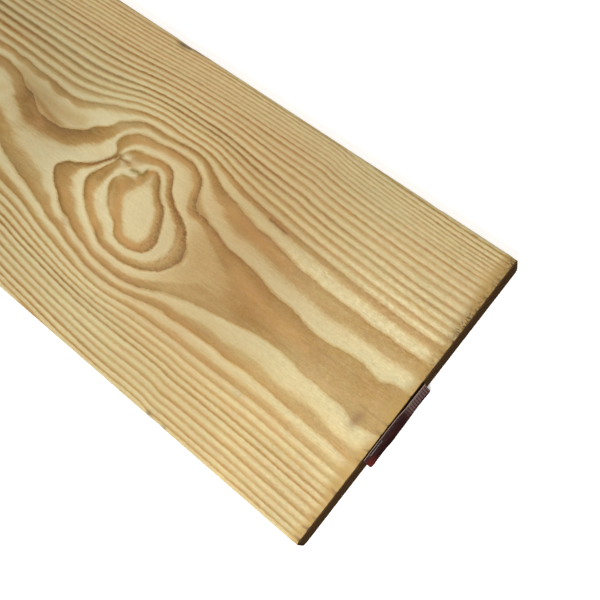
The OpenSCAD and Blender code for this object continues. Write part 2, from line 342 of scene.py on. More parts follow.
def cap(outer, u_out, P_in, u_in, counts, sign, legs=False):
    """Bevel and sawn end: sign is +1 at the tagged end. outer is the full ring's first vertex."""
    nt, na, ns, nb = counts
    n = len(P_in)
    nx = np.c_[np.full(n, 0.707 * sign), np.zeros((n, 2))]
    inner = add(np.c_[np.full(n, u_in), P_in], nx, 1.0)
    for band, first, num in bands(*counts):
        for i in range(num):
            k, k2 = first + i, (first + i + 1) % n
            p, c0 = coord(band, i / num); _, c1 = coord(band, (i + 1) / num)
            if sign > 0:
                faces.append((inner + k, outer + k, outer + k2, inner + k2))
                parts.append((p, ((u_in, c0), (u_out, c0), (u_out, c1), (u_in, c1))))
            else:
                faces.append((outer + k, inner + k, inner + k2, outer + k2))
                parts.append((p, ((u_out, c0), (u_in, c0), (u_in, c1), (u_out, c1))))
    rows = 2 * na + ns
    # right-hand perimeter vertex of each row, top to bottom, and the left-hand one
    rightv = [nt + i for i in range(rows + 1)]
    leftv = [0] + [n - i for i in range(1, rows + 1)]
    zs = [P_in[k][1] for k in rightv]
    ys = [P_in[i][0] for i in range(nt)] + [P_in[nt][0]]
    grid = np.zeros((rows + 1, nt + 1), int)
    grid[0] = [inner + i for i in range(nt + 1)]
    inner_pts = []
    for r in range(1, rows):
        for c in range(nt + 1):
            inner_pts.append((u_in, ys[c], zs[r]))
    inner_pts = np.array(inner_pts)
    holes = []
    if legs:        # columns beside each staple leg close up to its width, so that its pocket is a whole cell
        for ly in LEG_Y:
            c = int(np.argmin([abs((ys[k] + ys[k + 1]) / 2 - ly) for k in range(nt)]))
            r = int(np.argmin([abs((zs[k] + zs[k + 1]) / 2 - LEG_Z) for k in range(rows)]))
            for rr, z in ((r, LEG_Z + 0.625), (r + 1, LEG_Z - 0.625)):
                for cc, y in ((c, ly - 0.25), (c + 1, ly + 0.25)):
                    inner_pts[(rr - 1) * (nt + 1) + cc, 1:] = (y, z)
            holes.append((r, c))
    first = add(inner_pts, np.tile((sign, 0.0, 0.0), (len(inner_pts), 1)), 1.0)
    for r in range(1, rows):
        grid[r] = first + (r - 1) * (nt + 1) + np.arange(nt + 1)
    place = {}
    flat = np.concatenate([np.asarray(v) for v in V])
    def put(loop):
        loop = loop if sign > 0 else loop[::-1]
        faces.append(tuple(int(v) for v in loop))
        parts.append(("E+" if sign > 0 else "E-", tuple((flat[v][1], flat[v][2]) for v in loop)))
    q = nt // nb
    for r in range(rows - 1):
        for c in range(nt):
            if (r, c) in holes:
                continue
            put([grid[r][c], grid[r + 1][c], grid[r + 1][c + 1], grid[r][c + 1]])
    under = nt + 2 * na + ns        # the underside's vertices run from +Y to -Y
    for j in range(nb):
        hi_c = nt - j * q
        loop = [inner + under + j] + [grid[rows - 1][c] for c in range(hi_c, hi_c - q - 1, -1)] + [inner + (under + j + 1) % n]
        put(loop)
    for r in range(rows):            # the strips outside the grid's first and last columns
        for side, edge in ((nt, rightv), (0, leftv)):
            pa, pb = inner + edge[r] % n, inner + edge[r + 1] % n
            ga = grid[r][side] if r > 0 else pa
            gb = grid[r + 1][side] if r + 1 < rows else pb
            loop = [ga, gb, pb, pa] if side == nt else [pa, pb, gb, ga]
            loop = [v for i, v in enumerate(loop) if v not in loop[:i]]
            if len(loop) > 2:
                put(loop)
    for num, (r, c) in enumerate(holes):     # pockets for the staple legs
        mouth = [grid[r][c], grid[r + 1][c], grid[r + 1][c + 1], grid[r][c + 1]]
        depth = np.array([(-8.0, flat[v][1], flat[v][2]) for v in mouth])
        low = add(depth, np.tile((1.0, 0.0, 0.0), (4, 1)), 1.0)
        for i in range(4):
            j = (i + 1) % 4
            faces.append((int(mouth[i]), low + i, low + j, int(mouth[j])))
            parts.append(("H", tuple((num * 5 + i + dx, dy) for dx, dy in ((0.1, 0.1), (0.1, 0.9), (0.9, 0.9), (0.9, 0.1)))))
        faces.append((low, low + 1, low + 2, low + 3))
        parts.append(("H", tuple((num * 5 + 4 + dx, dy) for dx, dy in ((0.1, 0.9), (0.1, 0.1), (0.9, 0.1), (0.9, 0.9)))))

cap(fine_start[0], u_fine[0], section(NT, NA, NS, NB, BEVEL)[0], 0.0, fine_counts, 1, legs=True)
cap(far_start[-1], u_far[-1], section(NT // 2, NA, NS // 2, NB // 2, BEVEL)[0], -LEN, far_counts, -1)

V = np.concatenate(V); NORM = np.concatenate(NORM); ENDG = np.concatenate(ENDG)
u, y, z = V.T
RING = rings(u, y, z)
print("board vertices", len(V), "faces", len(faces))

def ease(v, a, b):
    t = np.clip((v - a) / (b - a), 0, 1)
    return t * t * (3 - 2 * t)

def bump_at(cu, cy, cz, au, ay, az):
    return np.exp(-(((u - cu) / au)**2 + ((y - cy) / ay)**2 + ((z - cz) / az)**2))

def waves(scale, seed, count=18):
    """Smooth random surface, about -1 to 1, from a sum of slow sine waves along and across the board."""
    r = np.random.default_rng(seed)
    out = np.zeros(len(u))
    for _ in range(count):
        k = r.normal(0, 1, 3) / np.array(scale)
        out += np.sin(u * k[0] + y * k[1] + z * k[2] + r.uniform(0, 6.28))
    return out / math.sqrt(count)

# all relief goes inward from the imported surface
body = np.where(ENDG > 0.5, 0.0, 1.0)
sink = (0.05 + 0.028 * waves((60, 22, 12), 1)) * body
phase = RING - np.floor(RING)
wide = ease(RING, 5.6, 4.4) * (z > T - 0.5)
late = ease(phase, 0.35, 0.92) * (1 - ease(phase, 0.985, 1.0))
sink += 0.07 * wide * (1 - late) * body
# knocks on the long edges: (u, y, z, length, width, height, depth)
DENTS = [(-242, 90.6, 18.6, 4.6, 2.2, 2.4, 1.25), (-237.5, 90.8, 18.0, 2.6, 1.8, 2.0, 0.8), (-231, 91.2, 18.3, 6.0, 1.0, 1.6, 0.35),
         (-107, -90.8, 18.4, 1.9, 1.5, 1.6, 0.75), (-95, -90.9, 18.5, 1.5, 1.3, 1.6, 0.65), (-101, -91.4, 16.5, 3.5, 1.5, 2.2, 0.3),
         (-52, 91.6, 17.4, 3.2, 1.2, 1.8, 0.30), (-171, -91.4, 17.6, 4.0, 1.2, 1.6, 0.28), (-320, -91.2, 17.8, 6.0, 1.4, 2.2, 0.45),
         (-1.5, 91.0, 18.0, 1.6, 2.0, 2.0, 0.5), (-1.5, -91.0, 18.0, 1.8, 2.0, 2.2, 0.55), (-1.2, -91.5, 1.6, 1.8, 1.8, 1.6, 0.6), (-1.2, 91.5, 1.6, 1.6, 1.8, 1.6, 0.5)]
for _ in range(16):
    s = rng.choice([-1, 1]); up = rng.choice([0, 1])
    DENTS.append((rng.uniform(-LEN + 60, -420), s * 91.0, 17.9 if up else 1.2, rng.uniform(14, 26), 1.8, 2.0, rng.uniform(0.3, 0.8)))
for cu, cy, cz, au, ay, az, depth in DENTS:
    sink += depth * bump_at(cu, cy, cz, au, ay, az) * body
# splintered arris where the saw left the end
splits = [(77, .35), (73, .25), (65, .4), (57, .25), (41, .3), (37, .35), (30, .25), (1, .3), (-17, .45), (-23, .3), (-33, .35), (-40, .25),
          (-60, .35), (-76, .3), (-82, .45), (-89, .5)]
CHIP = np.zeros(len(u))
for cy, depth in splits:
    m = np.exp(-((y - cy) / 0.9)**2) * np.exp(-(u / 1.3)**2) * ease(z, T - 2.2, T - 0.2)
    CHIP = np.maximum(CHIP, m * depth / 0.45)
    sink += 0.8 * depth * m
arris = ease(u, -2.2, 0) * ease(z, T - 1.2, T - 0.1)
sink += arris * 0.06 * np.clip(1 + waves((9, 1.2, 3), 5), 0, 2.2)
sink = np.clip(sink, 0.0, 1.6)
moved = V - NORM * sink[:, None]
moved[:, 0] = np.clip(moved[:, 0], -LEN, 0)
X = np.c_[moved[:, 0] + END, moved[:, 1], moved[:, 2]] * MM

mesh = bpy.data.meshes.new("timber_board")
loops = np.fromiter((v for f in faces for v in f), np.int32)
sizes = np.fromiter((len(f) for f in faces), np.int32)
mesh.vertices.add(len(X)); mesh.vertices.foreach_set("co", X.ravel())
mesh.loops.add(len(loops)); mesh.loops.foreach_set("vertex_index", loops)
mesh.polygons.add(len(faces)); mesh.polygons.foreach_set("loop_start", np.r_[0, np.cumsum(sizes)[:-1]].astype(np.int32))
mesh.polygons.foreach_set("loop_total", sizes)
mesh.update(calc_edges=True)
mesh.validate()
mesh.polygons.foreach_set("use_smooth", np.ones(len(faces), bool))
mesh.polygons.foreach_set("material_index", np.array([1 if p in ("E+", "E-", "H") else 0 for p, _ in parts], np.int32))

# bake map: each part of the skin gets its own rectangle of a 1024 map (left, bottom, mm per px along, mm per px across)
PX = 1024.0
def place(part, cs):
    out = []
    us = [c[0] for c in cs]
    if part == "T":
        if min(us) >= FINE_END - 0.01 or max(us) > FINE_END + 0.5:
            return [(4 + (c[0] - FINE_END) / 0.40, 4 + c[1] / 0.42) for c in cs]
        return [(4 + (FINE_END - c[0]) / 2.045, 460 + c[1] / 0.88) for c in cs]
    if part == "B":
        return [(4 - c[0] / 2.42, 682 + c[1] / 0.98) for c in cs]
    if part == "SR":
        return [(4 - c[0] / 2.42, 872 + c[1] / 0.80) for c in cs]
    if part == "SL":
        return [(4 - c[0] / 2.42, 902 + c[1] / 0.80) for c in cs]
    if part == "E+":
        return [(968 + c[1] / 0.42, 6 + (c[0] + W / 2) / 0.44) for c in cs]
    if part == "E-":
        return [(4 + (c[0] + W / 2) / 0.40, 934 + c[1] / 0.42) for c in cs]
    return [(500 + c[0] * 6, 940 + c[1] * 6) for c in cs]

uv = np.array([q for part, cs in parts for q in place(part, cs)], np.float32) / PX
layer = mesh.uv_layers.new(name="OFBake")
layer.data.foreach_set("uv", uv.ravel())

def store(name, values):
    mesh.attributes.new(name, "FLOAT", "POINT").data.foreach_set("value", np.asarray(values, np.float32))

top = (z > T - 3.2).astype(float)
# soft marks on the top face
def blot(cu, cy, au, ay, turn=0.0):
    c, s = math.cos(math.radians(turn)), math.sin(math.radians(turn))
    p, q = (u - cu) * c + (y - cy) * s, -(u - cu) * s + (y - cy) * c
    return np.exp(-((p / au)**2 + (q / ay)**2)) * top
store("ring", RING)
# rings per millimetre, for line widths that stay the same where the rings spread out
h = 0.35
DENS = np.hypot(rings(u, y + h, z) - rings(u, y - h, z), rings(u + h, y, z) - rings(u - h, y, z)) / (2 * h)
store("dens", np.clip(DENS, 0.012, 2.0))
store("endgrain", ENDG)
def stroke(w, pts):
    """Soft line of half-width w through the points, on the top face."""
    out = np.zeros(len(u))
    for (x0, y0), (x1, y1) in zip(pts, pts[1:]):
        d2 = (x1 - x0)**2 + (y1 - y0)**2
        t = np.clip(((u - x0) * (x1 - x0) + (y - y0) * (y1 - y0)) / max(d2, 1e-6), 0, 1)
        d = np.hypot(u - x0 - t * (x1 - x0), y - y0 - t * (y1 - y0))
        out = np.maximum(out, np.exp(-(d / w)**2))
    return out * top
def strokes(rows):
    out = np.zeros(len(u))
    for strength, w, pts in rows:
        out = np.maximum(out, strength * stroke(w, pts))
    return out
# the pale wood right of the eye is already a little tan
store("tan", np.maximum(ease(u, -168, -146) * ease(RING, 1.03, 1.12) * (RING < 2) * (u < -60) * top * (0.62 + 0.38 * ease(u, -150, -120)) * (1 - 0.30 * blot(-128, -12, 13, 13)),
    strokes([(1.15, 3.0, [(-170, 20), (-163, 15), (-154, 10.5), (-144, 5), (-134, 1)]), (1.34, 2.6, [(-134, 1), (-124, -2.5), (-115, -5), (-111, -9), (-110.5, -15.5), (-115, -21), (-124, -23)]), (1.15, 3.0, [(-124, -23), (-134, -28), (-144, -33)]), (1.0, 2.2, [(-154, -6), (-149.5, -12), (-150, -18)]),
    (0.62, 6.0, [(-322, 19), (-302, 15), (-282, 12), (-262, 15)]), (1.05, 3.5, [(-313, 14), (-300, 10.5), (-286, 7), (-270, 5)]), (0.35, 5.0, [(-322, 4), (-340, -2), (-352, -8)])])))
store("eye", blot(-196, -6, 62, 46))
store("dotted", np.clip(blot(-163, -8, 20, 26) + 0.55 * blot(-176, -10, 10, 22) + 0.5 * blot(-168, 24, 14, 10), 0, 1))
store("veil", blot(-140, 22, 72, 52))
store("olive", strokes([(0.90, 1.9, [(-227.2, 10.4), (-224.6, 12.2)]), (0.40, 1.3, [(-222.6, 8), (-224.5, 0), (-226, -7)]), (0.40, 1.3, [(-231, -3), (-231.8, -10), (-228, -17)]),
    (0.98, 1.5, [(-212, 9.6), (-208.5, 10.6), (-206, 10.3), (-204.2, 11), (-203.6, 12.5), (-204, 14)]), (0.45, 1.2, [(-204.2, 11), (-202.5, 9.5), (-201.6, 8.2)]),
    (0.60, 1.2, [(-215.4, 3.9), (-211, 4.6), (-208.6, 4.9), (-206.5, 4.6)]), (0.45, 1.2, [(-217.2, -0.9), (-216.6, -5.9), (-213, -12), (-209.8, -15.6)]),
    (0.50, 1.3, [(-232, 17.4), (-232, 20.1), (-229, 24.3)]), (0.50, 1.1, [(-220, 16.5), (-219, 19.8), (-214.3, 21.8)]),
    (0.30, 2.4, [(-194, 12), (-190, 7), (-186, 3)]), (0.30, 1.4, [(-226, -18), (-214, -26)]), (0.25, 1.4, [(-238, -30), (-226, -36), (-210, -41)])]))
store("umber", strokes([(0.62, 0.95, [(-178, 9), (-172, 5), (-167, 1), (-162, -5), (-159.5, -11), (-158.5, -17), (-161, -24)]),
    (0.45, 1.3, [(-181, 3), (-176, -3), (-174, -10), (-173.5, -18), (-176, -23)]), (0.98, 1.4, [(-238, -3), (-236, -1.5), (-232.5, 3), (-228.7, 7.3), (-225.6, 11.5)]),
    (0.70, 0.9, [(-223.8, 10.6), (-221.5, 11.2), (-218.9, 11.8), (-216.5, 11.6)]), (0.30, 1.3, [(-222.6, 8.2), (-224, 3), (-225, -1), (-226, -7)]),
    (0.50, 1.1, [(-198, 17.3), (-195.2, 15.4), (-191.2, 12), (-187, 7), (-182.5, 3.8), (-179, 2)]), (0.55, 1.0, [(-150.5, -9), (-149.8, -15), (-152, -22), (-158, -28)]),
    (0.95, 1.5, [(-122, 33.6), (-117, 33.0), (-110.5, 32.4)]), (0.4, 0.9, [(-150, 36.8), (-128, 34.2)]), (0.35, 1.0, [(-228, -38), (-222, -40)])]))
store("orange", strokes([(0.50, 2.2, [(-206.5, -7), (-203, -14), (-198, -20), (-192, -24.5)]), (0.55, 2.2, [(-228, -12), (-222, -19), (-214, -25), (-206, -30)]),
    (0.55, 2.2, [(-211, -0.5), (-209, -4)]), (0.60, 1.5, [(-202, 14.6), (-199.5, 16)]), (0.45, 1.1, [(-206, 9), (-205, 6)]),
    (0.45, 1.8, [(-217, 19), (-208, 21.5), (-198, 22.8), (-190, 20)]), (0.35, 2.5, [(-226, 25), (-214, 29.5), (-195, 32), (-182, 31)]), (0.45, 2.0, [(-188, -26), (-180, -26), (-174, -23)]),
    (0.30, 3.0, [(-176, 27), (-170, 20)]), (0.35, 3.5, [(-145, 25), (-120, 21), (-95, 19)]), (0.25, 5.0, [(-118, -2), (-90, -8), (-60, -12)]), (0.30, 2.6, [(-300, 6), (-286, 1)]),
    (0.30, 2.2, [(-240, -24), (-228, -32), (-212, -38)])]))
store("pale", strokes([(0.6, 1.3, [(-234, 20), (-233, 15), (-230.5, 12.5)]), (0.9, 2.2, [(-221.8, 13.4), (-219, 14.4)]), (0.7, 1.8, [(-220.8, 9.2), (-218, 8.2)]),
    (0.75, 1.3, [(-216.5, 6.4), (-210.7, 7), (-207.5, 7)]), (0.6, 1.8, [(-214.5, 13.6), (-209.4, 14.8), (-206, 16)]), (0.55, 1.1, [(-199.5, 8), (-197.8, 10.7), (-198.8, 13.5)]),
    (0.5, 1.4, [(-220.5, 4), (-221, -2), (-219.5, -10)])]))
store("chip", np.clip(CHIP, 0, 1) * top)
smudge = (0.55 * blot(-74, -52, 4.5, 1.3) + 0.35 * blot(-83, -56, 1.6, 0.9) + 0.4 * blot(-81, -64, 1.8, 0.9) + 0.35 * blot(-87, -50, 2.0, 0.8)
          + 0.45 * blot(-48, -65, 2.2, 1.0) + 0.4 * blot(-215, 76, 3.0, 1.2) + 0.35 * blot(-104, -87, 3.4, 1.3) + 0.25 * blot(-150, 62, 3, 1))
brown = 1.2 * blot(-15.3, -25.6, 2.3, 4.4) + 0.7 * blot(-13.6, -20.8, 3.2, 2.6) + 0.25 * blot(-20, -22, 6, 4)
store("smudge", smudge)
store("torn", top * ease(u, -7.5, -0.4) * (0.30 + 0.70 * ease(y, -12, 45)) * (1 + 0.25 * np.clip(waves((30, 5, 5), 21), -1, 1)))
store("coarse", top * ease(u, -110, -20))
store("brown", brown)
store("golden", ease(u + 2.6 * waves((40, 6, 6), 9), -8.5, -0.5) * (0.80 + 0.20 * np.clip(waves((9, 4, 4), 12), -1, 1)))
# the last millimetres before the saw cut are a little darker, most of all towards +Y, and broad patches over the top
# are made darker or lighter
store("dim", top * np.maximum(ease(u, -10, -1.5) * (0.06 + 0.24 * ease(y, -10, 62) + 0.06 * (1 - ease(y, -60, -40))), np.maximum(0.05 * ease(u, -60, -10) * ease(y, 30, 60), np.maximum(0.07 * ease(y, -56, -74) * ease(u, -40, -80), 0.11 * blot(-16, -84, 34, 26)))) + 0.070 * blot(-115, 2, 48, 38) + 0.075 * blot(-300, 14, 34, 16) + 0.11 * blot(-282, 0, 26, 9) + 0.05 * blot(-300, 10, 14, 6) - 0.100 * blot(-312, 80, 46, 14) + 0.05 * blot(-50, 80, 80, 22) + 0.05 * blot(-345, 46, 40, 14) + 0.04 * blot(-258, -48, 26, 14)
    - 0.055 * blot(-215, 50, 50, 20) - 0.060 * blot(-235, 85, 80, 16) - 0.025 * blot(-205, -14, 40, 34) + 0.055 * blot(-45, -9, 60, 12) + 0.045 * blot(-3, -8, 9, 14) + 0.035 * blot(-25, -16, 50, 34) + 0.03 * blot(-30, 12, 40, 12)
    + 0.035 * blot(-190, -56, 70, 20) + 0.055 * blot(-264, -16, 18, 14) + 0.06 * blot(-95, 78, 40, 16))
# where the dark edge of a ring shows as a line of its own
store("rim", strokes([(1.0, 4.0, [(-192, 13), (-186, 6), (-180, 3), (-176, -2), (-172, -9), (-169, -17), (-171, -24), (-178, -27.5)]),
    (0.55, 3.5, [(-178, -27.5), (-188, -28.5), (-194, -27), (-199, -21)]), (0.9, 4.0, [(-191, 23.5), (-187, 19.5), (-183, 13.5), (-175, 8), (-160, 1), (-154, -5.5), (-150.5, -12), (-150.5, -18), (-154, -24.5), (-162, -31)]),
    (0.5, 3.5, [(-162, -31), (-172, -35), (-192, -36.5), (-207, -31)]), (0.9, 4.0, [(-163, 14), (-166, 17), (-168, 22), (-171, 28), (-178, 32.3), (-188, 34.5), (-200, 34)]),
    (0.5, 3.5, [(-200, 34), (-210, 32), (-218, 31.3), (-225, 29.5)]), (0.6, 4.0, [(-120, 6), (-140, 9), (-150, 11), (-163, 14)]),
    (0.7, 4.0, [(-244, -6), (-250.5, -8.5), (-253.5, -12), (-255.5, -17), (-252, -21), (-246, -26), (-230, -35), (-215, -40)]), (0.5, 3.5, [(-215, -40), (-200, -43.5), (-180, -44.6), (-160, -41.5)]),
    (0.55, 3.0, [(-233, -9), (-231, -3), (-228.5, 3)]), (0.35, 3.0, [(-231, -12), (-222, -23), (-214, -28)]), (0.6, 5.0, [(-320, 17), (-310, 13), (-300, 9.5), (-290, 4.3), (-280, 3.9)]),
    (0.5, 5.0, [(-345, 26), (-320, 27), (-300, 25.7), (-272, 26), (-255, 33)]), (0.35, 4.0, [(-225, 37.5), (-200, 39.7), (-180, 40.6), (-165, 35)])]))
store("deep", np.maximum(np.maximum(1.3 * blot(-285, 3, 34, 11), 0.55 * blot(-210.5, -3, 4.5, 6)), np.maximum(0.7 * blot(-246, -13, 12, 9), 0.45 * blot(-250, 12, 14, 9))))
store("fade", strokes([(0.75, 2.6, [(-217.5, 3.5), (-213, 6.5), (-208, 8.5), (-206.5, 12)]), (0.30, 2.2, [(-213.5, -9), (-208, -15), (-203, -19)]), (0.55, 2.2, [(-194, 6), (-188, -1), (-182.5, -6.5), (-179.5, -12), (-178, -17), (-180, -21)]), (0.3, 2.5, [(-222, -22), (-210, -29)])]))
store("flat", np.clip(blot(-22, -30, 62, 42) + 0.45 * blot(-60, -55, 80, 35) + 0.9 * blot(-60, -84, 75, 20) + 0.3 * blot(-20, 40, 50, 40) + 0.95 * blot(-45, 74, 70, 22) + 0.85 * blot(-265, 86, 120, 17) + 0.5 * blot(-125, -68, 40, 22), 0, 1))
store("veil2", np.maximum(blot(-122, -20, 40, 44), np.maximum(0.95 * blot(-300, 14, 30, 14), 0.45 * ease(u, -235, -300) * ease(y, 58, 34) * top)))
store("strong", np.clip(ease(u, -215, -290) * blot(-300, 46, 200, 26) + 0.10 * blot(-250, 72, 100, 20) + 0.25 * blot(-180, 60, 60, 16), 0, 1))
# painted highlight: where bright glare flecks are painted into the colour
store("painted_sparkle", np.maximum(1.25 * blot(-32, 30, 40, 20), 0.75 * blot(-75, 26, 40, 14)))
store("warm", 0.6 * ease(u, -90, -125) * ease(y, 45, 70) * top + 0.5 * blot(-185, -42, 45, 9) + 0.5 * blot(-280, 2, 22, 12))
knocks = np.zeros(len(u))
for cu, cy, cz, au, ay, az, depth in DENTS[:6]:
    knocks = np.maximum(knocks, bump_at(cu, cy, cz, au * 0.9, ay, az) * min(1.0, depth * 1.3))
store("knock", knocks)

# thin dark lines: signed distance to the nearest one, and how strong it is there
LINES = [(0.26, [(-212.3, 9.6), (-209.5, 10.7), (-207, 10.2), (-204.6, 11.2)]), (0.22, [(-205.5, 9.2), (-204.4, 12), (-204.2, 14.2)]), (0.48, [(-226.4, 11.2), (-228.7, 7.3), (-232.5, 3), (-235, -0.5)]), (0.42, [(-222.8, 10.9), (-220.8, 11.5), (-218.5, 11.8)]),
         (0.24, [(-17, -17.2), (-9, -17.6), (-1, -17.3)]), (0.12, [(-62, -9), (-40, -7), (-20, -7)]), (0.14, [(-70, -17.5), (-55, -17.5)]),
         (0.40, [(-121, 33.6), (-117, 33.0), (-111, 32.5)])]
for i, (cy, depth) in enumerate(splits):
    if cy in (-17, 1): continue
    LINES.append((min(0.6, depth * 1.2), [(0.0, cy), (-0.7 - 2.2 * depth * (0.5 + 0.5 * math.sin(i * 2.3)), cy + 0.3 * math.sin(i * 1.7))]))
LINE_D, LINE_M = np.full(len(u), 9.0), np.zeros(len(u))
best = np.full(len(u), 1e9)
for strength, pts in LINES:
    for (x0, y0), (x1, y1) in zip(pts, pts[1:]):
        d = math.hypot(x1 - x0, y1 - y0)
        tx, ty = (x1 - x0) / d, (y1 - y0) / d
        along = np.clip((u - x0) * tx + (y - y0) * ty, 0, d)
        far = np.hypot(u - x0 - along * tx, y - y0 - along * ty)
        side = -(u - x0) * ty + (y - y0) * tx
        m = (far < best) & (far < 4)
        best[m] = far[m]
        LINE_D[m] = side[m]
        LINE_M[m] = strength * (1 - ease(far[m], 1.5, 3.2))
store("line_d", LINE_D)
store("line_m", LINE_M * top)

board = bpy.data.objects.new("timber_board", mesh)
bpy.context.scene.collection.objects.link(board)
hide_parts("plank")
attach(board, "root")

# ------------------------------------------------------------------ materials
class Net:
    """Short names for building a node material."""
    def __init__(self, name):
        self.mat = bpy.data.materials.new(name)
        self.mat.use_nodes = True
        self.t = self.mat.node_tree
        self.t.nodes.clear()
        self.out = self.t.nodes.new("ShaderNodeOutputMaterial")
        self.bsdf = self.t.nodes.new("ShaderNodeBsdfPrincipled")
        self.t.links.new(self.bsdf.outputs[0], self.out.inputs[0])
    def node(self, kind):
        return self.t.nodes.new(kind)
    def put(self, socket, v):
        if isinstance(v, bpy.types.NodeSocket):
            self.t.links.new(v, socket)
        else:
            socket.default_value = v
    def math(self, op, a, b=None, c=None, clamp=False):
        n = self.node("ShaderNodeMath"); n.operation = op; n.use_clamp = clamp
        for s, v in zip(n.inputs, (a, b, c)):
            if v is not None:
                self.put(s, v)
        return n.outputs[0]
    def add(self, a, b): return self.math("ADD", a, b)
    def mul(self, a, b): return self.math("MULTIPLY", a, b)
    def mix(self, fac, a, b, mode="MIX"):
        n = self.node("ShaderNodeMix"); n.data_type = "RGBA"; n.blend_type = mode
        n.clamp_factor = True
        self.put(n.inputs[0], fac)
        for s, v in ((n.inputs[6], a), (n.inputs[7], b)):
            self.put(s, v if isinstance(v, bpy.types.NodeSocket) else (*v, 1.0))
        return n.outputs[2]
    def mixf(self, fac, a, b):
        n = self.node("ShaderNodeMix"); n.data_type = "FLOAT"
        self.put(n.inputs[0], fac); self.put(n.inputs[2], a); self.put(n.inputs[3], b)
        return n.outputs[0]
    def ramp(self, fac, stops, colour=True):
        n = self.node("ShaderNodeValToRGB"); e = n.color_ramp.elements
        while len(e) < len(stops):
            e.new(1.0)
        for el, (p, c) in zip(e, stops):
            el.position = p
            el.color = (*c, 1.0) if colour else (c, c, c, 1.0)
        self.put(n.inputs[0], fac)
        return n.outputs[0]
    def span(self, v, a, b, c=0.0, d=1.0, smooth=False):
        n = self.node("ShaderNodeMapRange"); n.clamp = True
        if smooth: n.interpolation_type = "SMOOTHSTEP"
        for s, w in zip(n.inputs, (v, a, b, c, d)):
            self.put(s, w)
        return n.outputs[0]
    def attr(self, name):
        n = self.node("ShaderNodeAttribute"); n.attribute_type = "GEOMETRY"; n.attribute_name = name
        return n.outputs["Fac"]
    def coords(self, sx, sy, sz, shift=(0, 0, 0)):
        """Object coordinates in millimetres times a factor per axis."""
        if not hasattr(self, "tc"):
            self.tc = self.node("ShaderNodeTexCoord")
        n = self.node("ShaderNodeMapping")
        n.inputs["Scale"].default_value = (sx * 1000, sy * 1000, sz * 1000)
        n.inputs["Location"].default_value = shift
        self.t.links.new(self.tc.outputs["Object"], n.inputs["Vector"])
        return n.outputs[0]
    def noise(self, vec, scale=1.0, detail=2.0, rough=0.5, distort=0.0):
        n = self.node("ShaderNodeTexNoise")
        self.put(n.inputs["Vector"], vec); n.inputs["Scale"].default_value = scale
        n.inputs["Detail"].default_value = detail; n.inputs["Roughness"].default_value = rough
        n.inputs["Distortion"].default_value = distort
        return n.outputs["Fac"]
    def white(self, v):
        n = self.node("ShaderNodeTexWhiteNoise"); n.noise_dimensions = "1D"
        self.put(n.inputs["W"], v)
        return n.outputs["Value"]
    def combine(self, a, b, c):
        n = self.node("ShaderNodeCombineXYZ")
        for s, v in zip(n.inputs, (a, b, c)):
            self.put(s, v)
        return n.outputs[0]
    def bump(self, height, strength, distance, normal=None):
        n = self.node("ShaderNodeBump")
        n.inputs["Strength"].default_value = strength; n.inputs["Distance"].default_value = distance
        self.put(n.inputs["Height"], height)
        if normal is not None:
            self.put(n.inputs["Normal"], normal)
        return n.outputs[0]
    def set(self, name, v):
        self.put(self.bsdf.inputs[name], v if isinstance(v, bpy.types.NodeSocket) or not isinstance(v, tuple) else (*v, 1.0))

# sawn ends: darker, open grain with the same rings; the tagged half of the board is painted darker still as painted
# shade, and the top few millimetres of each end are painted lighter as painted light
def sawn_colour_and_shade(k, phase):
    pores = k.noise(k.coords(0.3, 2.6, 2.6, (4, 4, 4)), detail=3.0, rough=0.7)
    kerf = k.noise(k.coords(0.2, 0.9, 0.10, (7, 1, 3)), detail=3.0)
    tone = k.ramp(phase, [(0.0, (0.082, 0.047, 0.021)), (0.35, (0.072, 0.040, 0.018)), (0.75, (0.044, 0.023, 0.010)), (0.96, (0.030, 0.015, 0.007)), (1.0, (0.064, 0.036, 0.016))])
    shade = k.add(k.span(pores, 0.3, 0.7, 0.72, 1.2), k.span(kerf, 0.3, 0.7, -0.12, 0.16))
    low = k.node("ShaderNodeSeparateXYZ"); k.put(low.inputs[0], k.coords(1, 1, 1))
    # painted light: lighter towards the end's top edge
    shade = k.mul(shade, k.span(low.outputs[2], T - 5.0, T - 0.5, 0.85, 1.45, True))
    # painted shade: the tagged half stays dark, the far half is up to 2.3 times lighter
    shade = k.mul(shade, k.span(low.outputs[0], 0.0, -200.0, 1.0, 2.3))
    return k.mix(1.0, tone, k.combine(shade, shade, shade), "MULTIPLY"), pores, kerf

# treated pine
k = Net("treated_pine")
ring = k.attr("ring")
endg = k.attr("endgrain")
dens = k.attr("dens")
eye = k.attr("eye")
# ring lines waver a little along the fibres, by fractions of a millimetre
wob = k.math("SUBTRACT", k.noise(k.coords(0.035, 0.16, 0.16), detail=2.0), 0.5)
jag = k.math("SUBTRACT", k.noise(k.coords(0.28, 1.0, 1.0, (3, 1, 7)), detail=3.0, rough=0.65), 0.5)
ringn = k.math("MULTIPLY_ADD", k.add(k.mul(wob, 1.1), k.mul(jag, k.mixf(k.attr("dotted"), k.mixf(eye, 1.45, 1.9), 2.7))), dens, ring)
idx = k.math("FLOOR", ringn)
rnd = k.white(k.add(idx, 41.3))
rnd2 = k.white(k.add(idx, 7.7))
phase_n = k.math("FRACT", ringn)
before = k.math("DIVIDE", k.math("SUBTRACT", 1.0, phase_n), dens)      # mm before the next sharp edge
after = k.math("DIVIDE", phase_n, dens)                                # mm after the last one
narrow = k.span(dens, 0.11, 0.24, 0.0, 1.0, True)
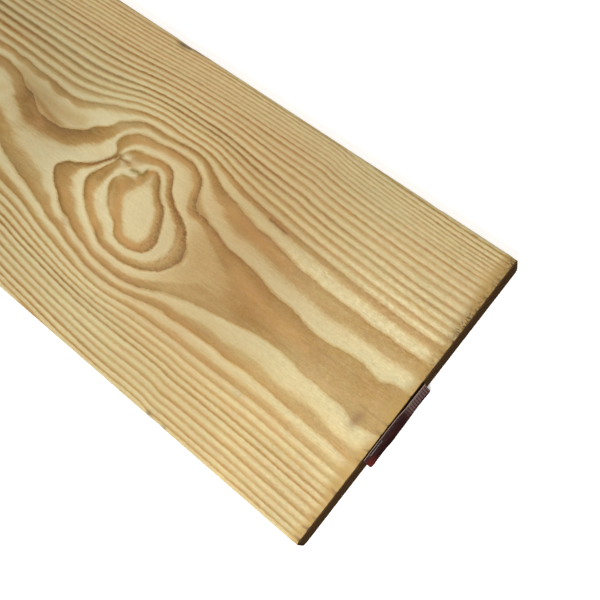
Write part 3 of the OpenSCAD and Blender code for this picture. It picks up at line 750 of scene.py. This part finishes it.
# broad rings: a long pale stretch, a tan band, and a dark line of even width at its edge
grainy = k.math("SUBTRACT", k.noise(k.coords(0.45, 1.1, 1.1, (8, 8, 3)), detail=3.0, rough=0.7), 0.5)
brush = k.math("SUBTRACT", k.noise(k.coords(0.10, 0.9, 0.9, (1, 5, 3)), detail=4.0, rough=0.6), 0.5)
sweep = k.math("SUBTRACT", k.noise(k.coords(0.028, 0.42, 0.42, (4, 2, 6)), detail=3.0, rough=0.6), 0.5)
broad = k.ramp(k.add(phase_n, k.add(k.mul(grainy, 0.10), k.add(k.mul(brush, 0.14), k.mul(sweep, 0.20)))), [(0.0, 0.0), (0.28, 0.04), (0.42, 0.14), (0.50, 0.32), (0.58, 0.54), (0.70, 0.62), (0.86, 0.72), (1.0, 0.80)], colour=False)
slow = k.noise(k.coords(0.022, 0.05, 0.05, (6, 1, 2)), detail=2.0)
broad = k.mul(broad, k.span(slow, 0.32, 0.68, 0.86, 1.12))
broad = k.math("MAXIMUM", broad, k.mul(k.attr("tan"), 0.46))
edge_line = k.mul(k.span(before, 0.3, 3.0, 1.0, 0.0, True), k.span(grainy, -0.3, 0.3, 0.80, 1.08))
rim = k.attr("rim")
broad = k.add(broad, k.mul(k.mul(edge_line, k.mixf(rim, 0.03, 0.25)), k.span(broad, 0.3, 0.6)))
dots = k.span(k.noise(k.coords(0.6, 0.8, 0.8, (1, 7, 7)), detail=2.0, rough=0.7), 0.48, 0.62)
broad = k.add(broad, k.mul(k.mul(k.attr("dotted"), dots), k.mul(k.span(before, 0.2, 4.5, 0.40, 0.0), k.span(broad, 0.25, 0.5))))
broad = k.add(broad, k.mul(k.mul(k.attr("deep"), 0.20), k.span(broad, 0.35, 0.6)))
broad = k.mixf(k.span(after, 0.0, k.mul(k.mixf(rim, k.mixf(eye, 1.9, 1.6), 1.25), k.span(slow, 0.35, 0.65, 0.8, 1.35)), 0.0, 1.0, True), k.mixf(rim, 0.40, 0.48), broad)
broad = k.mul(broad, k.math("SUBTRACT", 1.0, k.attr("fade")))
# close rings: a thin soft dark line each
close = k.ramp(phase_n, [(0.0, 0.52), (0.07, 0.24), (0.17, 0.10), (0.40, 0.12), (0.58, 0.30), (0.74, 0.66), (0.84, 0.86), (0.93, 0.80), (1.0, 0.52)], colour=False)
close = k.mul(close, k.mul(k.span(rnd, 0.0, 1.0, 0.70, 1.10), k.mixf(k.attr("strong"), 1.0, 1.46)))
amount = k.mixf(narrow, broad, close)
speckle = k.math("SUBTRACT", k.noise(k.coords(0.9, 1.2, 1.2, (2, 9, 5)), detail=2.0, rough=0.7), 0.5)
amount = k.add(amount, k.mul(k.mul(speckle, amount), k.mixf(k.attr("dotted"), 0.55, 1.3)))
amount = k.mixf(k.mul(k.attr("flat"), 0.34), amount, 0.33)
amount = k.mixf(k.mul(k.attr("golden"), 0.55), amount, 0.36)
pine = k.ramp(amount, [(0.0, (0.69, 0.60, 0.345)), (0.15, (0.64, 0.525, 0.270)), (0.35, (0.54, 0.390, 0.160)), (0.55, (0.445, 0.275, 0.090)), (0.75, (0.35, 0.190, 0.040)), (0.90, (0.255, 0.128, 0.020)), (1.0, (0.190, 0.090, 0.012))])
# rings differ in tone, broad patches in warmth
pine = k.mix(k.mul(rnd2, 0.16), pine, (0.42, 0.27, 0.115))
patch = k.noise(k.coords(0.006, 0.02, 0.02, (5, 2, 9)), detail=2.0)
pine = k.mix(k.span(patch, 0.45, 0.75, 0.0, 0.22), pine, (0.60, 0.40, 0.20))
pine = k.mix(k.span(k.noise(k.coords(0.009, 0.03, 0.03, (1, 8, 4)), detail=2.0), 0.5, 0.75, 0.0, 0.30), pine, (0.60, 0.56, 0.30))
hue = k.noise(k.coords(0.055, 0.22, 0.22, (3, 9, 1)), detail=3.0, rough=0.65)
tinge = k.span(amount, 0.0, 0.35, 0.35, 1.0)
pine = k.mix(k.mul(tinge, k.span(hue, 0.50, 0.70, 0.0, 0.26)), pine, (0.56, 0.33, 0.155))
pine = k.mix(k.mul(tinge, k.span(hue, 0.50, 0.30, 0.0, 0.22)), pine, (0.52, 0.46, 0.19))
pine = k.mix(k.mul(k.math("MAXIMUM", eye, 0.0), k.span(amount, 0.05, 0.30, 0.20, 0.0)), pine, (0.75, 0.69, 0.44))
# fibres: long streaks that follow the grain, and short dark flecks
cu = k.coords(0.03, 1.0, 1.0)
sep = k.node("ShaderNodeSeparateXYZ"); k.put(sep.inputs[0], k.coords(1, 1, 1))
grain_vec = k.combine(k.mul(sep.outputs[0], 0.012), k.mul(ring, 2.6), k.mul(sep.outputs[2], 0.05))
streak = k.noise(grain_vec, scale=1.0, detail=5.0, rough=0.65)
fibre = k.noise(k.coords(0.055, 1.5, 1.5, (2, 2, 2)), detail=3.0, rough=0.6)
speck = k.noise(k.coords(0.5, 1.3, 1.3, (9, 4, 2)), detail=2.0, rough=0.7)
fleck = k.noise(k.coords(0.9, 1.6, 1.6, (7, 7, 2)), detail=1.0)
shade = k.add(k.add(k.span(streak, 0.25, 0.75, 0.90, 1.08), k.span(fibre, 0.2, 0.8, -0.075, 0.075)), k.add(k.span(speck, 0.2, 0.8, -0.065, 0.065), k.span(fleck, 0.25, 0.75, -0.04, 0.04)))
grits = k.add(k.span(k.noise(k.coords(0.35, 0.6, 0.6, (5, 9, 7)), detail=4.0, rough=0.7), 0.3, 0.7, -0.085, 0.085), k.span(speck, 0.25, 0.75, -0.04, 0.04))
shade = k.add(shade, k.mul(grits, k.attr("coarse")))
shade = k.mul(shade, k.math("SUBTRACT", 1.0, k.attr("dim")))
pine = k.mix(1.0, pine, k.combine(shade, shade, shade), "MULTIPLY")
# marks
veil = k.attr("veil")
pine = k.mix(veil, pine, k.mix(1.0, pine, (0.87, 0.775, 0.665), "MULTIPLY"))
pine = k.mix(k.attr("veil2"), pine, k.mix(1.0, pine, (0.89, 0.835, 0.79), "MULTIPLY"))
pine = k.mix(k.mul(k.attr("warm"), 0.30), pine, (0.47, 0.25, 0.10))
pine = k.mix(k.mul(k.attr("golden"), k.span(speck, 0.3, 0.7, 0.5, 1.0)), pine, (0.42, 0.245, 0.055))
pine = k.mix(k.mul(k.attr("pale"), 0.70), pine, (0.66, 0.58, 0.35))
pine = k.mix(k.attr("orange"), pine, (0.53, 0.275, 0.085))
pine = k.mix(k.mul(k.attr("olive"), k.span(speckle, -0.3, 0.3, 0.6, 1.0)), pine, (0.27, 0.165, 0.016))
pine = k.mix(k.mul(k.attr("umber"), k.span(speckle, -0.12, 0.18, 0.25, 1.0)), pine, (0.25, 0.098, 0.022))
blotchy = k.span(k.noise(k.coords(0.55, 0.7, 0.7, (3, 3, 9)), detail=2.0, rough=0.6), 0.50, 0.66)
pine = k.mix(k.mul(k.mul(blotchy, k.math("MAXIMUM", k.attr("olive"), k.attr("umber"))), 0.55), pine, (0.185, 0.085, 0.020))
pine = k.mix(k.mul(k.attr("brown"), 0.60), pine, (0.25, 0.135, 0.055))
grit = k.span(k.noise(k.coords(0.8, 1.1, 1.1, (6, 6, 1)), detail=2.0), 0.42, 0.62)
pine = k.mix(k.mul(k.attr("smudge"), k.mixf(grit, 0.25, 1.0)), pine, (0.26, 0.21, 0.14))
pine = k.mix(k.mul(k.attr("knock"), 0.85), pine, (0.085, 0.055, 0.028))
line = k.span(k.math("ABSOLUTE", k.attr("line_d")), 0.28, 0.95, 1.0, 0.0)
pine = k.mix(k.mul(k.mul(line, k.attr("line_m")), 0.9), pine, (0.155, 0.070, 0.016))
pine = k.mix(k.mul(k.attr("chip"), 0.8), pine, (0.11, 0.07, 0.03))
nicks = k.span(k.noise(k.coords(0.55, 0.95, 0.95, (2, 6, 4)), detail=3.0, rough=0.65), 0.47, 0.60)
pine = k.mix(k.mul(k.math("MULTIPLY", k.attr("torn"), k.attr("torn")), k.mixf(nicks, 0.10, 0.85)), pine, (0.085, 0.055, 0.022))
sawn, pores, kerf = sawn_colour_and_shade(k, phase_n)
# painted highlight: bright flecks painted into the colour where the planed face catches the light
painted_glint = k.mul(k.mul(k.attr("painted_sparkle"), k.span(amount, 0.15, 0.45, 1.0, 0.25)), k.span(k.noise(k.coords(0.30, 0.42, 0.42, (2, 3, 8)), detail=3.0, rough=0.7), 0.46, 0.66, 0.0, 0.40))
pine = k.mix(painted_glint, pine, (0.85, 0.74, 0.44))
colour = k.mix(k.span(endg, 0.35, 0.85, 0.0, 1.0), pine, sawn)
k.set("Base Color", colour)
mottle = k.noise(k.coords(0.22, 0.35, 0.35, (4, 6, 2)), detail=4.0, rough=0.7)
rough = k.add(k.mixf(amount, 0.54, 0.47), k.span(mottle, 0.40, 0.62, 0.06, -0.12))
k.set("Roughness", k.mixf(endg, rough, 0.9))
k.set("Specular IOR Level", 0.24)
height = k.add(k.add(k.mul(fibre, 0.45), k.mul(speck, 0.35)), k.add(k.mul(amount, 0.22), k.mul(mottle, 0.9)))
height = k.mixf(endg, height, k.add(k.mul(pores, 0.9), k.mul(kerf, 1.4)))
k.set("Normal", k.bump(height, 0.5, 0.00012))
board.data.materials.append(k.mat)

# the sawn ends are open-pored and give back no shine; their colour carries the painted shade of the tagged end and the
# painted light near the top edge
k = Net("sawn_end")
sawn, pores, kerf = sawn_colour_and_shade(k, k.math("FRACT", k.add(k.attr("ring"), k.mul(k.math("SUBTRACT", k.noise(k.coords(0.1, 0.8, 0.8), detail=2.0), 0.5), 0.12))))
k.set("Base Color", sawn)
k.set("Roughness", 1.0)
k.set("Specular IOR Level", 0.0)
k.set("Normal", k.bump(k.add(k.mul(pores, 0.9), k.mul(kerf, 1.4)), 0.5, 0.00012))
board.data.materials.append(k.mat)

# ------------------------------------------------------------------ end tag and staples
TAG_Y0, TAG_Y1 = -39.0, 12.0
TAG_Z0, TAG_Z1 = 0.7, T - 0.5
FILM = 0.26
STZ = 0.62 * T

def smooth(mesh_):
    mesh_.polygons.foreach_set("use_smooth", np.ones(len(mesh_.polygons), bool))

def tag_gap(y, z):
    """Stand-off of the tag's inner face from the sawn end."""
    t = (y - TAG_Y0) / (TAG_Y1 - TAG_Y0)
    up = np.clip((z - STZ - 1.2) / (TAG_Z1 - STZ - 1.2), 0, 1)
    dn = np.clip((STZ - 1.2 - z) / (STZ - 1.2 - TAG_Z0), 0, 1)
    lift = 0.35 + 1.05 * t**1.4 + 0.22 * np.sin(t * 9.0 + 0.6)
    flare = 2.5 + 0.12 * np.sin(t * 5.0)
    # between the staples the film bows off the wood a little
    pressed = np.exp(-((y + 29.5) / 5.5)**4) + np.exp(-((y - 2.5) / 5.5)**4)
    bow = 0.22 * (1 - np.clip(pressed, 0, 1))
    gap = bow + np.maximum(lift, 0.2) * up**1.6 + flare * dn**1.9
    gap += 0.05 * np.sin(y * 0.55 + z * 0.9) * (1 - np.clip(pressed, 0, 1)) + 0.06 * np.sin(y * 0.23 - z * 0.6) * (up + dn)
    return np.maximum(gap, 0.01)

ny, nz = 104, 40
ty = np.linspace(TAG_Y0, TAG_Y1, ny + 1)
tz = np.linspace(TAG_Z0, TAG_Z1, nz + 1)
Y, Z = np.meshgrid(ty, tz, indexing="ij")
cr = 1.6                     # rounded corners of the film: rows and columns draw in near them
def corner(yv, zv):
    cy = np.clip(yv, TAG_Y0 + cr, TAG_Y1 - cr); cz = np.clip(zv, TAG_Z0 + cr, TAG_Z1 - cr)
    dy, dz = yv - cy, zv - cz
    d = np.hypot(dy, dz); m = np.maximum(np.abs(dy), np.abs(dz))
    s = np.where(d > 1e-6, m / np.maximum(d, 1e-6), 1.0)
    return cy + dy * s, cz + dz * s
Y, Z = corner(Y, Z)
RIM = 0.06                   # the two faces stop short of the film's edge, which is rounded between them
Yn, Zn = Y, Z
Y = np.where(np.arange(ny + 1)[:, None] == 0, Y + RIM, np.where(np.arange(ny + 1)[:, None] == ny, Y - RIM, Y))
Z = np.where(np.arange(nz + 1)[None] == 0, Z + RIM, np.where(np.arange(nz + 1)[None] == nz, Z - RIM, Z))
G = tag_gap(Y, Z)
e = 0.02
gy = (tag_gap(Y + e, Z) - tag_gap(Y - e, Z)) / (2 * e)
gz = (tag_gap(Y, Z + e) - tag_gap(Y, Z - e)) / (2 * e)
nl = np.sqrt(1 + gy**2 + gz**2)
inner = np.stack([G, Y, Z], 2)
outer = inner + np.stack([1 / nl, -gy / nl, -gz / nl], 2) * FILM
outer[..., 1] = np.clip(outer[..., 1], TAG_Y0 + 0.5 * RIM, TAG_Y1 - 0.5 * RIM)
outer[..., 2] = np.clip(outer[..., 2], TAG_Z0 - 0.2, TAG_Z1 - 0.5 * RIM)
middle = (inner + outer) / 2
middle[..., 1] = Yn
middle[..., 2] += Zn - Z
pts = np.concatenate([inner.reshape(-1, 3), outer.reshape(-1, 3)])
pts[:, 0] += END
n1 = (ny + 1) * (nz + 1)
I = np.arange(n1).reshape(ny + 1, nz + 1)
tf = []
for i in range(ny):
    for j in range(nz):
        a0, b0, c0, d0 = I[i, j], I[i + 1, j], I[i + 1, j + 1], I[i, j + 1]
        tf.append((d0, c0, b0, a0)); tf.append((a0 + n1, b0 + n1, c0 + n1, d0 + n1))
edge = [I[i, 0] for i in range(ny)] + [I[ny, j] for j in range(nz)] + [I[i, nz] for i in range(ny, 0, -1)] + [I[0, j] for j in range(nz, 0, -1)]
m0 = len(pts)
rim_pts = middle.reshape(-1, 3)[edge]
rim_pts[:, 0] += END
pts = np.concatenate([pts, rim_pts])
for i, (a0, b0) in enumerate(zip(edge, edge[1:] + edge[:1])):
    j = (i + 1) % len(edge)
    tf.append((a0, b0, m0 + j, m0 + i)); tf.append((m0 + i, m0 + j, b0 + n1, a0 + n1))
tm = bpy.data.meshes.new("end_tag_film")
tm.from_pydata((pts * MM).tolist(), [], [tuple(int(v) for v in f) for f in tf])
tm.validate(); smooth(tm)
film = bpy.data.objects.new("end_tag_film", tm)
bpy.context.scene.collection.objects.link(film)
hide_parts("end_tag"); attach(film, "root")

k = Net("tag_film")
k.tc = k.node("ShaderNodeTexCoord")
sep = k.node("ShaderNodeSeparateXYZ"); k.put(sep.inputs[0], k.coords(1, 1, 1))
yy, zz = sep.outputs[1], sep.outputs[2]
# the film's colours are painted very dark, as painted shade: the tag hangs in the shade of the end
maroon = k.mix(k.span(k.noise(k.coords(0.05, 0.12, 0.25), detail=2.0), 0.3, 0.7), (0.013, 0.0022, 0.0022), (0.032, 0.0045, 0.004))
# painted light: the lower -Y corner, flaring out into the light, is painted brighter red
painted_lit_corner = k.mul(k.span(yy, -30.0, -39.0, 0.0, 1.0, True), k.span(zz, 13.0, 3.0, 0.0, 1.0, True))
maroon = k.mix(k.mul(painted_lit_corner, 0.85), maroon, (0.125, 0.014, 0.008))
panel = k.mul(k.span(yy, -8.0, -1.0, 0.0, 1.0, True), k.span(zz, 1.5, 2.5))
stripe = k.math("SINE", k.mul(yy, 2 * math.pi / 1.7))
stripe = k.mul(k.span(stripe, -0.25, 0.25), 0.75)
# the printed panel and its stripes are painted dark as well, as painted shade
pale = k.mix(stripe, (0.165, 0.098, 0.088), (0.030, 0.012, 0.012))
colour = k.mix(k.mul(panel, 0.85), maroon, pale)
scuff = k.span(k.noise(k.coords(0.9, 1.6, 0.5, (3, 3, 3)), detail=4.0, rough=0.7), 0.55, 0.75, 0.0, 0.35)
colour = k.mix(k.mul(scuff, 0.4), colour, (0.075, 0.030, 0.026))
# painted highlight: the upper edge is painted paler where it catches the light
colour = k.mix(k.span(zz, TAG_Z1 - 0.55, TAG_Z1 - 0.25, 0.0, 0.85), colour, (0.42, 0.27, 0.20))
k.set("Base Color", colour)
k.set("Roughness", k.span(k.noise(k.coords(0.3, 0.5, 0.5), detail=3.0), 0.3, 0.7, 0.54, 0.68))
k.set("Specular IOR Level", 0.02)
k.set("Normal", k.bump(k.noise(k.coords(0.4, 0.7, 0.45, (2, 7, 1)), detail=3.0), 0.35, 0.00012))
film.data.materials.append(k.mat)

def sweep_staple(name, node, cy):
    """Flat wire bent into a staple: a crown on the tag and two chisel-cut legs in the wood."""
    half, leg, t, w = 5.3 - 0.25, 8.0, 0.5, 1.25
    x_mid = 0.26 + 0.04 + t / 2
    bend = 0.55
    path = [(-leg, -half, 0)] + [(-leg + 0.5, -half, 0)] + [(x_mid - bend - i * 0.9, -half, 0) for i in (7, 5, 3, 2, 1, 0)]
    for i in range(1, 7):
        a = math.pi / 2 * i / 6
        path.append((x_mid - bend + bend * math.sin(a), -half + bend - bend * math.cos(a), 0))
    crown = [(-half + bend) + (2 * (half - bend)) * i / 10 for i in range(1, 10)]
    path += [(x_mid - 0.03 * math.sin(math.pi * (c + half) / (2 * half)), c, 0) for c in crown]
    path += [(p[0], -p[1], 0) for p in reversed(path[:14])]
    path = [np.array(p, float) for p in path]
    c = 0.13
    prof = []
    for sx, sz in ((1, 1), (-1, 1), (-1, -1), (1, -1)):
        for a in ((0, 45, 90) if sx * sz > 0 else (90, 45, 0)):
            r = math.radians(a)
            prof.append((sx * (t / 2 - c + c * math.cos(r)), sz * (w / 2 - c + c * math.sin(r))))
    vs, fs = [], []
    m = len(prof)
    for i, p in enumerate(path):
        d = path[min(i + 1, len(path) - 1)] - path[max(i - 1, 0)]
        d /= np.linalg.norm(d)
        nrm = np.array((d[1], -d[0], 0.0))       # outward side of the wire
        end = i in (0, len(path) - 1)
        for a, b in prof:
            scale = 0.35 if end else 1.0         # chisel point
            vs.append((p[0] + nrm[0] * a * scale, cy + p[1] + nrm[1] * a * scale, STZ + b * (0.9 if end else 1.0)))
    for i in range(len(path) - 1):
        for j in range(m):
            j2 = (j + 1) % m
            fs.append((i * m + j, i * m + j2, (i + 1) * m + j2, (i + 1) * m + j))
    fs.append(tuple(range(m))[::-1]); fs.append(tuple((len(path) - 1) * m + j for j in range(m)))
    me = bpy.data.meshes.new(name)
    arr = np.array(vs); arr[:, 0] += END
    me.from_pydata((arr * MM).tolist(), [], fs)
    me.validate(); smooth(me)
    import bmesh
    bm = bmesh.new(); bm.from_mesh(me); bmesh.ops.recalc_face_normals(bm, faces=bm.faces); bm.to_mesh(me); bm.free()
    o = bpy.data.objects.new(name, me)
    bpy.context.scene.collection.objects.link(o)
    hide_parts(node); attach(o, "root")
    return o

# the wire is painted dark, as painted shade: the staples sit in the shade of the tagged end; the noise varies its tone
# and roughness
k = Net("staple_wire")
wear = k.noise(k.coords(0.9, 0.35, 1.2), detail=4.0, rough=0.6)
k.set("Base Color", k.ramp(wear, [(0.3, (0.060, 0.058, 0.055)), (0.55, (0.12, 0.115, 0.11)), (0.72, (0.085, 0.065, 0.050))]))
k.set("Metallic", 0.85)
k.set("Roughness", k.span(wear, 0.3, 0.7, 0.34, 0.58))
k.set("Normal", k.bump(wear, 0.25, 0.00005))
staple_mat = k.mat
for name, node, cy in (("staple_wire_left", "staple_left", -29.5), ("staple_wire_right", "staple_right", 2.5)):
    o = sweep_staple(name, node, cy)
    o.data.materials.append(staple_mat)

# ------------------------------------------------------------------ stage and light
k = Net("pale_floor")
k.set("Base Color", k.mix(k.span(k.noise(k.coords(0.004, 0.004, 0.004), detail=3.0), 0.3, 0.7), (0.86, 0.86, 0.86), (0.88, 0.88, 0.88)))
k.set("Roughness", 0.9)
k.set("Specular IOR Level", 0.1)
k.set("Emission Color", (1.0, 1.0, 1.0))
k.set("Emission Strength", 0.46)
fm = bpy.data.meshes.new("floor")
fm.from_pydata([(-90, -90, -0.0002), (90, -90, -0.0002), (90, 90, -0.0002), (-90, 90, -0.0002)], [], [(0, 1, 2, 3)])
floor = bpy.data.objects.new("floor", fm)
bpy.context.scene.collection.objects.link(floor)
floor.data.materials.append(k.mat)

world = bpy.data.worlds.new("studio")
bpy.context.scene.world = world
world.use_nodes = True
bg = world.node_tree.nodes["Background"]
bg.inputs[0].default_value = (1.0, 1.0, 1.0, 1.0)
bg.inputs[1].default_value = 0.40

def light(name, kind, energy, place, toward, **more):
    data = bpy.data.lights.new(name, kind)
    data.energy = energy
    for key, v in more.items():
        setattr(data, key, v)
    o = bpy.data.objects.new(name, data)
    bpy.context.scene.collection.objects.link(o)
    o.location = place
    o.rotation_mode = "QUATERNION"
    o.rotation_quaternion = (Vector(toward) - Vector(place)).to_track_quat("-Z", "Y")
    return o

key_dir = Vector((-0.115, 0.067, 0.450)).normalized()
light("key", "SUN", 0.66, key_dir * 4.0, (0, 0, 0), angle=math.radians(7))
fill_at = Vector((END * MM + 0.07, -0.26, 0.48))
light("fill", "AREA", 2.3, fill_at, (END * MM - 0.06, -0.03, 0.02), shape="DISK", size=0.22)
# a long soft panel keeps the rest of the board as bright as the stretch near the tag
light("panel", "AREA", 1.75, (-0.36, -0.16, 0.50), (-0.36, 0.0, 0.0), shape="RECTANGLE", size=1.70, size_y=0.30, spread=math.radians(75))

scene = bpy.context.scene
scene.view_settings.view_transform = "Standard"
scene.view_settings.look = "None"
scene.view_settings.exposure = 0.0
scene.view_settings.gamma = 1.0
